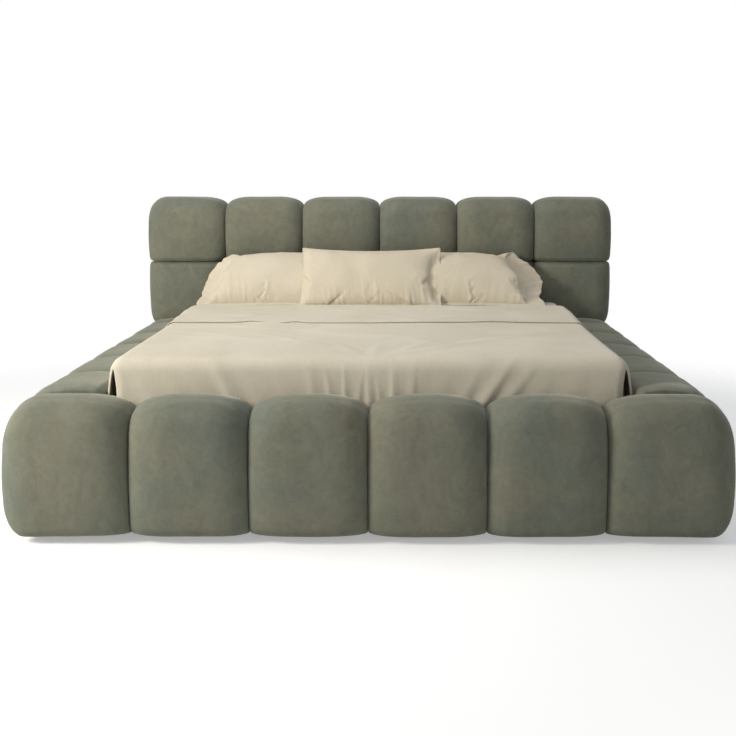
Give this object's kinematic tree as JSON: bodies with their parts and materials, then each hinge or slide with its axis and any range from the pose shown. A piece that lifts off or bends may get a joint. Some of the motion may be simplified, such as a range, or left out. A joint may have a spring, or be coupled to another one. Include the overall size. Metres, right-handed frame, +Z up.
{
  "type": "upholstered storage bed",
  "caption": "Low padded bed of puffed blocks on all sides, whose slatted platform tilts up on gas struts over a storage well, with mattress, quilt and pillows.",
  "frame": {"origin": "on the floor under the middle of the bed", "axes": "+X across the bed, +Y from the foot towards the headboard, +Z up"},
  "size_m": [2.458, 2.58, 1.1121],
  "materials": {
    "upholstery": "matte",
    "back_cloth": "matte",
    "plywood": "satin",
    "pine": "matte",
    "beech": "satin",
    "zinc_steel": "satin",
    "black_steel": "satin",
    "strut_paint": "satin",
    "strut_steel": "polished",
    "glide_plastic": "matte",
    "cap_plastic": "satin",
    "webbing": "matte",
    "mattress_cloth": "matte",
    "bedding_cloth": "matte",
    "pillow_cloth": "matte"
  },
  "bodies": {
    "bed_frame": {"centre_beam": "pine", "corner_bolts": "zinc_steel", "corner_brackets": "zinc_steel", "feet": "glide_plastic", "flat_screws": "zinc_steel", "floor_battens": "pine", "footboard_cushion_1": "upholstery", "footboard_cushion_2": "upholstery", "footboard_cushion_3": "upholstery", "footboard_cushion_4": "upholstery", "footboard_cushion_5": "upholstery", "footboard_cushion_6": "upholstery", "footboard_panel": "plywood", "headboard_back_cover": "back_cloth", "headboard_lower_1": "upholstery", "headboard_lower_2": "upholstery", "headboard_lower_3": "upholstery", "headboard_lower_4": "upholstery", "headboard_lower_5": "upholstery", "headboard_lower_6": "upholstery", "headboard_panel": "plywood", "headboard_upper_1": "upholstery", "headboard_upper_2": "upholstery", "headboard_upper_3": "upholstery", "headboard_upper_4": "upholstery", "headboard_upper_5": "upholstery", "headboard_upper_6": "upholstery", "pivot_plate_left": "black_steel", "pivot_plate_right": "black_steel", "rail_cushion_left_1": "upholstery", "rail_cushion_left_2": "upholstery", "rail_cushion_left_3": "upholstery", "rail_cushion_left_4": "upholstery", "rail_cushion_left_5": "upholstery", "rail_cushion_left_6": "upholstery", "rail_cushion_right_1": "upholstery", "rail_cushion_right_2": "upholstery", "rail_cushion_right_3": "upholstery", "rail_cushion_right_4": "upholstery", "rail_cushion_right_5": "upholstery", "rail_cushion_right_6": "upholstery", "side_rail_left": "plywood", "side_rail_right": "plywood", "storage_floor_left": "plywood", "storage_floor_right": "plywood", "strut_foot_brackets": "black_steel"},
    "platform": {"lift_frame": "black_steel", "slats": "beech", "slat_caps": "cap_plastic", "mattress_stops": "black_steel", "lift_strap": "webbing", "mattress": "mattress_cloth", "duvet": "bedding_cloth"},
    "pillows": {"pillow_left": "pillow_cloth", "pillow_right": "pillow_cloth", "pillow_front": "pillow_cloth"},
    "strut_cylinder_left": {"strut_cylinder_left": "strut_paint"},
    "strut_cylinder_right": {"strut_cylinder_right": "strut_paint"},
    "strut_rod_left": {"strut_rod_left": "strut_steel"},
    "strut_rod_right": {"strut_rod_right": "strut_steel"}
  },
  "joints": [
    {"name": "platform_tilt", "type": "hinge", "parent": "bed_frame", "child": "platform", "pos_m": [0, 0.7, 0.465], "axis": [-1, 0, 0], "range_deg": [0, 40]},
    {"name": "pillow_push", "type": "slide", "parent": "platform", "child": "pillows", "axis": [0, -0.9781, 0.2079], "range_m": [0, 0.28]},
    {"name": "strut_rod_left_swing", "type": "hinge", "parent": "bed_frame", "child": "strut_rod_left", "pos_m": [-0.858, 0.78987, 0.115], "axis": [-1, 0, 0], "range_deg": [0, 20]},
    {"name": "strut_cylinder_left_swing", "type": "hinge", "parent": "platform", "child": "strut_cylinder_left", "pos_m": [-0.858, 0.36481, 0.33], "axis": [-1, 0, 0], "range_deg": [-20, 0]},
    {"name": "strut_rod_right_swing", "type": "hinge", "parent": "bed_frame", "child": "strut_rod_right", "pos_m": [0.858, 0.78987, 0.115], "axis": [-1, 0, 0], "range_deg": [0, 20]},
    {"name": "strut_cylinder_right_swing", "type": "hinge", "parent": "platform", "child": "strut_cylinder_right", "pos_m": [0.858, 0.36481, 0.33], "axis": [-1, 0, 0], "range_deg": [-20, 0]}
  ],
  "couplings": [
    {"joint": "pillow_push", "follows": "platform_tilt", "m_per_rad": 0.4},
    {"joint": "strut_rod_left_swing", "follows": "platform_tilt", "ratio": 0.5},
    {"joint": "strut_cylinder_left_swing", "follows": "platform_tilt", "ratio": -0.5},
    {"joint": "strut_rod_right_swing", "follows": "platform_tilt", "ratio": 0.5},
    {"joint": "strut_cylinder_right_swing", "follows": "platform_tilt", "ratio": -0.5}
  ]
}
